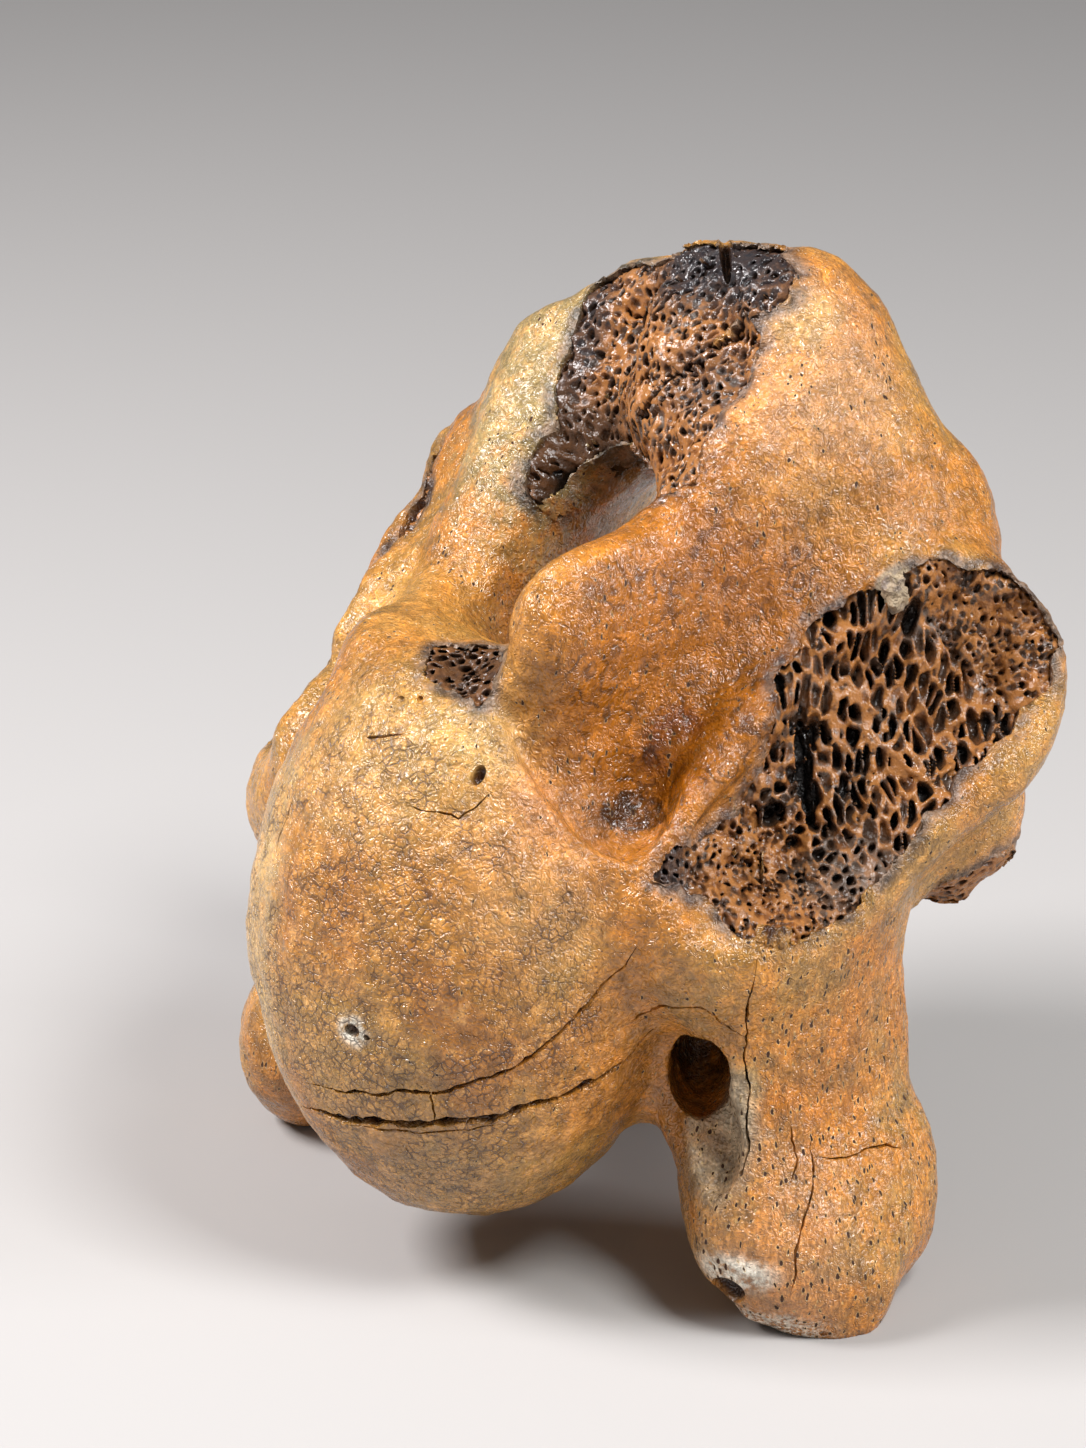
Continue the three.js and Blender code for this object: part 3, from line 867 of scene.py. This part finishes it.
def colour_mix(tree, amount, first, second):
    n = tree.nodes.new("ShaderNodeMix")
    n.data_type = "RGBA"
    plug(tree, n.inputs[0], amount)
    plug(tree, n.inputs[6], first)
    plug(tree, n.inputs[7], second)
    return n.outputs[2]


def patch(tree, position, centre, radii, edge=0.35, blur=None):
    """A soft-edged oval place on the bone, 1 in its middle."""
    n = vector(tree, "DIVIDE", vector(tree, "SUBTRACT", position, centre), radii)
    away = Field(tree, vector(tree, "LENGTH", n))
    if blur is not None:
        away = away + (blur - 0.5) * 0.9
    return away.ramp(1 - edge, 1 + edge, 1.0, 0.0)


def material(name):
    m = bpy.data.materials.new(name)
    m.use_nodes = True
    tree = m.node_tree
    place = tree.nodes.new("ShaderNodeTexCoord").outputs["Object"]
    scaled = node(tree, "ShaderNodeVectorMath", {0: place, "Scale": 1 / MM}, operation="SCALE").outputs[0]
    return m, tree, tree.nodes["Principled BSDF"], scaled


def attribute(tree, name):
    n = node(tree, "ShaderNodeAttribute", attribute_name=name)
    return Field(tree, n.outputs["Fac"])


# Places on the outer bone with a colour of their own: centre, reach, tint, strength, and softness where it
# isn't the usual one. The brown place inside the artery hole is painted shade, and the small brown one in the
# pocket where the bone draws in makes that pocket darker.
USUAL_SOFTNESS = 0.4
BONE_STAINS = [
    ((-20, -42, 50), (10, 12, 34), CREAM, 0.7),
    ((15, -30, 84), (8, 5, 4.5), CREAM, 0.5),
    ((21, -28, 76), (5, 4, 5), PINK, 0.7),
    ((-2, -40, 80), (16, 12, 12), CREAM, 0.3),
    ((22, -30, 68), (10, 12, 14), PINK, 0.35),
    ((26, -4, 88), (15, 26, 26), AMBER, 0.95),
    ((24, 6, 106), (10, 12, 12), RUST, 0.25),
    ((18, 12, 121), (9, 7, 8), PINK, 0.6),
    ((26, 22, 126), (13, 12, 14), PINK, 0.65),
    ((24, 21, 132), (5, 6, 4), CREAM, 0.4),
    ((-4, 14, 102), (12, 19, 7), BROWN, 0.75),
    ((-20, 22, 114), (16, 22, 26), PALE, 0.9),
    # darker in the pocket where the bone draws in
    ((26, -15, 72), (4.5, 4, 2.4), BROWN, 0.85, 0.12),
    ((27, -7, 80), (4, 6, 5), RUST, 0.85, 0.25),
    ((30, -10, 78), (4, 5, 4), AMBER, 0.9),
    ((50, -12, 14), (10, 9, 14), PINK, 0.5),
    # painted shade inside the artery hole
    ((29, -4, 38), (8, 8, 8), BROWN, 0.9),
    ((39, -8, 34), (3.5, 7, 5.5), GRIT, 0.7),
    ((43.5, -12.5, 36), (2.2, 3, 5), CREAM, 0.6),
]
SPONGY_STAINS = [
    ((-4, 22, 137), (30, 14, 8), CHARCOAL, 0.95),
    ((-18, 22, 120), (5, 10, 14), CHARCOAL, 0.8),
    ((12, 15, 122), (7, 8, 5), CHARCOAL, 0.5),
    ((-12, 15, 106), (12, 9, 9), WALL_DARK, 0.9),
    ((5, -23, 89), (9, 7, 7), WALL_DARK, 0.8),
    ((52, 8, 62), (12, 12, 4), ASH, 0.5),
    ((36, -20, 68), (8, 6, 6), CHARCOAL, 0.8),
]
# Sizes of the marks in the varnish and the bone.
CURL_SIZE, CURL_LINES = 4.5, 34.0
RIPPLE_SIZE = 1.05
CRACKLE_SIZE, NET_SIZE = 1.25, 0.6
PORE_SIZE, PINHOLE_SIZE = 1.1, 0.85
FIBRE_SIZE = 0.45
GRIT_SIZE = 0.7


def stained(tree, p, blur, colour, stains):
    for centre, radii, tint, strength, *softness in stains:
        spot = patch(tree, p, centre, radii, softness[0] if softness else USUAL_SOFTNESS, blur)
        colour = colour_mix(tree, spot * strength, colour, tint)
    return colour


def bone_noises(tree, p):
    return SimpleNamespace(
        broad=cloud(tree, p, 26, 2),
        middle=cloud(tree, p, 8, 3, 0.6),
        small=cloud(tree, p, 2.6, 4, 0.65),
        fine=cloud(tree, p, 0.6, 3, 0.6),
    )


def bone_places(tree, p, noises):
    """Where the finish differs: large stretches of the bone, and places with stone or crust on them."""
    small = noises.small
    foot_crust = patch(tree, p, (46, -16, 11), (6, 4, 3), 0.4, small)
    ball_crust = patch(tree, p, (5.5, -48, 45), (2.4, 3, 2.4), 0.4, small)
    sole_crust = patch(tree, p, (46, -12, 1), (10, 8, 3.6), 0.4, small) * noises.fine.ramp(0.4, 0.55) * 0.8
    return SimpleNamespace(
        ball=patch(tree, p, (0, -32, 45), (30, 20, 42), 0.2, noises.middle),
        saddle=patch(tree, p, (28, -4, 88), (17, 26, 24), 0.35, noises.middle),
        leg=patch(tree, p, (50, -2, 22), (18, 26, 40), 0.3, noises.middle),
        grit=patch(tree, p, (41, -14.5, 30), (5.5, 6.5, 9.5), 0.3, noises.middle),
        crust=(foot_crust.most(ball_crust) * small.ramp(0.36, 0.56)).most(sole_crust),
        chip=patch(tree, p, (43, 19.6, 97.5), (3.6, 3.6, 4.6), 0.15),
    )


def bone_marks(tree, p, noises, places):
    """Curls and ripples of dried varnish, fine checking, pores, pinholes and fibre."""
    small = noises.small
    wander = warped(tree, p, 1.4, 0.4)
    curl = (cloud(tree, p, CURL_SIZE, 1, 0.4) * CURL_LINES).math("SINE")
    curled = cloud(tree, p, 5.0, 1, offset=(50, 0, 0)).ramp(0.4, 0.6) * (places.saddle * 0.6 + 0.4)

    crackle = cells(tree, wander, CRACKLE_SIZE, "DISTANCE_TO_EDGE")
    broken = cloud(tree, p, 1.6, 1, offset=(0, 0, 80)).ramp(0.4, 0.55)
    checked = cloud(tree, p, 9, 2, 0.6, offset=(0, 60, 0)).ramp(0.36, 0.52) * (places.ball * 0.85 + 0.15)
    groove = crackle.ramp(0.025, 0.12, 1.0, 0.0) * checked * (broken * 0.7 + 0.3)
    net = cells(tree, wander, NET_SIZE, "DISTANCE_TO_EDGE").ramp(0.02, 0.12, 1.0, 0.0) * (checked * 0.7 + 0.3)

    px, py, pz = split_axes(tree, wander)
    crowd = cloud(tree, p, 7, 2, offset=(90, 0, 0)).ramp(0.42, 0.62, 0.16, 0.0) * (-places.leg + 1.0)
    upright = joined_axes(tree, px, py, pz * 0.4)
    pore_gap = cells(tree, upright, PORE_SIZE) + (crowd + places.ball * 0.1) + (small - 0.5) * 0.3
    pore = pore_gap.ramp(0.14, 0.21, 1.0, 0.0)
    pinhole = cells(tree, p, PINHOLE_SIZE).ramp(0.12, 0.22, 1.0, 0.0) * small.ramp(0.48, 0.6)
    return SimpleNamespace(
        curl=curl, curled=curled, ripple=cloud(tree, p, RIPPLE_SIZE, 1.5, 0.5, 2.0),
        crackle=crackle, checked=checked, groove=groove, net=net,
        pore_gap=pore_gap, pore=pore, pinhole=pinhole,
        fibre=cloud(tree, joined_axes(tree, px, py, pz * 0.15), FIBRE_SIZE, 1.5),
        dark=(groove * 0.75).most(pore * 0.95).most(net * 0.22).most(pinhole * 0.7),
    )


def bone_ground(tree, p, noises, places, marks):
    """The colour of the whole bone before the marks' shading: tan and ochre, and the stains, among them the
    painted shade inside the artery hole.
    """
    middle, small, fine = noises.middle, noises.small, noises.fine
    colour = colour_mix(tree, noises.broad.ramp(0.38, 0.62), TAN, OCHRE)
    colour = colour_mix(tree, places.ball * middle.ramp(0.42, 0.62) * 0.45, colour, OLIVE)
    colour = colour_mix(tree, places.leg * middle.ramp(0.38, 0.6) * 0.6, colour, AMBER)
    colour = colour_mix(tree, places.ball * small.ramp(0.52, 0.7) * 0.5, colour, CREAM)
    colour = stained(tree, p, small, colour, BONE_STAINS)
    colour = colour_mix(tree, small.ramp(0.4, 0.75) * 0.45, colour, AMBER)
    colour = colour_mix(tree, fine.ramp(0.55, 0.75) * (-places.saddle * 0.7 + 1.0) * 0.22, colour, CREAM)
    colour = colour_mix(tree, places.grit, colour, GRIT)
    colour = colour_mix(tree, places.crust * 0.9, colour, CHALK)
    return colour_mix(tree, marks.pore_gap.ramp(0.21, 0.28, 1.0, 0.0) * 0.5, colour, CREAM)


def bone_shade(noises, places, marks):
    """How much lighter or darker each mark and mottle makes the ground, with painted light and shade along
    the varnish ripples and painted shade over the saddle.
    """
    shade = marks.fibre.ramp(0.3, 0.7, -0.25, 0.15) * (places.leg * 0.85 + 0.15) + 1.0
    # Painted light and shade: the colour follows the height of the varnish ripples, lighter on their crests
    # and darker in their troughs; the fine mottle beside it is the bone's own tone.
    shade = shade * marks.ripple.ramp(0.3, 0.7, 0.82, 1.18) * noises.fine.ramp(0.3, 0.7, 0.87, 1.13)
    shade = shade * noises.small.ramp(0.3, 0.7, 0.7, 1.3) * noises.middle.ramp(0.35, 0.65, 0.84, 1.12)
    # Painted shade: the saddle is darkened where the key light falls strongly on it.
    shade = shade * (-places.saddle * 0.2 + 1.0)
    return shade * (marks.curl.ramp(-1.0, 0.0, 0.5, 1.08) * marks.curled - marks.curled + 1.0)


def varnished_bone():
    m, tree, shader, p = material("varnished_bone")
    noises = bone_noises(tree, p)
    places = bone_places(tree, p, noises)
    marks = bone_marks(tree, p, noises, places)
    small = noises.small
    depth = attribute(tree, "depth")
    scorched = attribute(tree, "rim").ramp(0.6, 3.0, 1.0, 0.0) * noises.middle.ramp(0.35, 0.55)

    ground = bone_ground(tree, p, noises, places, marks)
    shade = bone_shade(noises, places, marks)
    colour = node(tree, "ShaderNodeVectorMath", {0: ground, "Scale": shade}, operation="SCALE").outputs[0]
    colour = colour_mix(tree, marks.dark, colour, UMBER)
    colour = colour_mix(tree, marks.pore, colour, UMBER)
    burnt = colour_mix(tree, small.ramp(0.42, 0.58), CHARCOAL, ASH)
    colour = colour_mix(tree, scorched * 0.85, colour, burnt)
    colour = colour_mix(tree, places.chip, colour, colour_mix(tree, small.ramp(0.35, 0.6), ASH, GRIT))
    # Painted shade: the deeper a point lies below the unbroken surface, in cracks, pits and breaks, the more
    # it is painted brown and then near black.
    colour = colour_mix(tree, depth.ramp(0.15, 1.2) * (-places.chip + 1.0), colour, BROWN)
    colour = colour_mix(tree, depth.ramp(0.8, 3.0) * (-places.chip + 1.0), colour, HOLLOW_SHADE)
    plug(tree, shader.inputs["Base Color"], colour)

    height = cloud(tree, p, 3.2, 0.5) * 0.6 + marks.ripple * 0.42 + marks.curl * marks.curled * 0.035
    height = height + noises.fine * 0.01 + marks.crackle.ramp(0.0, 0.4) * marks.checked * 0.05
    height = height - marks.groove * 0.1 - marks.net * 0.02 - marks.pore * 0.2 - marks.pinhole * 0.1
    height = height + marks.fibre * 0.02 + places.grit * cells(tree, p, GRIT_SIZE) * 0.45
    bump = node(tree, "ShaderNodeBump", {"Height": height, "Strength": 1.0, "Distance": MM})
    plug(tree, shader.inputs["Normal"], bump.outputs[0])
    rough = small.ramp(0.35, 0.65, 0.07, 0.16) + marks.dark * 0.3 + marks.pore * 0.6 + scorched * 0.3
    plug(tree, shader.inputs["Roughness"], rough + (places.grit + places.chip + places.crust) * 0.4)
    shader.inputs["Specular IOR Level"].default_value = 0.75
    return m


def spongy_material():
    m, tree, shader, p = material("spongy_bone")
    small = cloud(tree, p, 1.5, 3, 0.6)
    depth = attribute(tree, "depth")
    colour = colour_mix(tree, cloud(tree, p, 3.5, 2, 0.6).ramp(0.38, 0.6), WALL, WALL_DARK)
    greyed = cloud(tree, p, 9, 2, 0.6).ramp(0.45, 0.6) * small.ramp(0.4, 0.65) * 0.8
    colour = colour_mix(tree, greyed, colour, ASH)
    # Painted highlight: the tops of the walls are painted lighter.
    colour = colour_mix(tree, depth.ramp(0.04, 0.3, 1.0, 0.0), colour, EDGE)
    colour = stained(tree, p, small, colour, SPONGY_STAINS)
    # Painted shade: below their tops the walls are painted darker and then near black with depth.
    colour = colour_mix(tree, depth.ramp(0.3, 1.1) * 0.75, colour, WALL_DARK)
    colour = colour_mix(tree, depth.ramp(0.9, 2.2), colour, HOLLOW_SHADE)
    plug(tree, shader.inputs["Base Color"], colour)
    height = small * 0.3 + cloud(tree, p, 0.45, 1) * 0.12
    bump = node(tree, "ShaderNodeBump", {"Height": height, "Strength": 1.0, "Distance": MM})
    plug(tree, shader.inputs["Normal"], bump.outputs[0])
    plug(tree, shader.inputs["Roughness"], small.ramp(0.35, 0.65, 0.15, 0.4))
    return m


bone_material = varnished_bone()
inner_material = spongy_material()
for name, piece in pieces.items():
    piece.data.materials.clear()
    piece.data.materials.append(bone_material)
    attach(piece, "root")
    if SHELL_NODES[name]:
        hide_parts(*SHELL_NODES[name])
for name, piece in spongy.items():
    piece.data.materials.clear()
    piece.data.materials.append(inner_material)
    select_only(piece)
    bpy.ops.object.shade_smooth()
    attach(piece, "root")
    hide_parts(name)

# ---------- stage, light and camera ----------
FLOOR_SIZE = 6
FLOOR_GREY = (0.44, 0.43, 0.42, 1)
ROOM_LIGHT = (0.9, 0.9, 0.92, 1)
ROOM_STRENGTH = 0.16
bpy.ops.object.select_all(action="DESELECT")
bpy.ops.mesh.primitive_plane_add(size=FLOOR_SIZE)
floor = bpy.context.object
floor.name = "floor"
paper = bpy.data.materials.new("pale_floor")
paper.use_nodes = True
shader = paper.node_tree.nodes["Principled BSDF"]
shader.inputs["Base Color"].default_value = FLOOR_GREY
shader.inputs["Roughness"].default_value = 0.9
floor.data.materials.append(paper)

world = bpy.data.worlds.new("studio")
bpy.context.scene.world = world
world.use_nodes = True
room = world.node_tree.nodes["Background"]
room.inputs["Color"].default_value = ROOM_LIGHT
room.inputs["Strength"].default_value = ROOM_STRENGTH
bpy.context.scene.view_settings.view_transform = "Standard"

VIEW_AZIMUTH = math.radians(42)
VIEW_ELEVATION = math.radians(22)
VIEW_DISTANCE = 0.7
VIEW_HEIGHT = 0.2  # how much the frame takes in, top to bottom, at the aim point
AIM = Vector((-0.0017, -0.0023, 0.0734))
to_camera = Vector(
    (
        math.sin(VIEW_AZIMUTH) * math.cos(VIEW_ELEVATION),
        -math.cos(VIEW_AZIMUTH) * math.cos(VIEW_ELEVATION),
        math.sin(VIEW_ELEVATION),
    )
)
right = Vector((math.cos(VIEW_AZIMUTH), math.sin(VIEW_AZIMUTH), 0))
up = to_camera.cross(right)


def area_light(name, direction, distance, size, power, colour=(1, 1, 1)):
    """A soft square light, placed by a direction of (right, up, towards the camera)."""
    light = bpy.data.lights.new(name, "AREA")
    light.size = size
    light.energy = power
    light.color = colour
    lamp = new_object(name, light)
    away = (right * direction[0] + up * direction[1] + to_camera * direction[2]).normalized()
    lamp.location = AIM + away * distance
    lamp.rotation_mode = "QUATERNION"
    lamp.rotation_quaternion = away.to_track_quat("Z", "Y")


area_light("key", (-0.72, 0.64, 0.32), distance=0.8, size=0.28, power=10, colour=(1.0, 0.97, 0.98))
area_light("fill", (0.4, 0.6, 0.7), distance=0.9, size=0.28, power=7)
area_light("side", (0.93, 0.15, 0.35), distance=0.8, size=0.24, power=3.5, colour=(0.97, 0.97, 1.0))

camera = new_object("camera", bpy.data.cameras.new("camera"))
camera.location = AIM + to_camera * VIEW_DISTANCE
camera.rotation_mode = "QUATERNION"
camera.rotation_quaternion = to_camera.to_track_quat("Z", "Y")
camera.data.sensor_width = 36
camera.data.lens = camera.data.sensor_width * VIEW_DISTANCE / VIEW_HEIGHT
bpy.context.scene.camera = camera
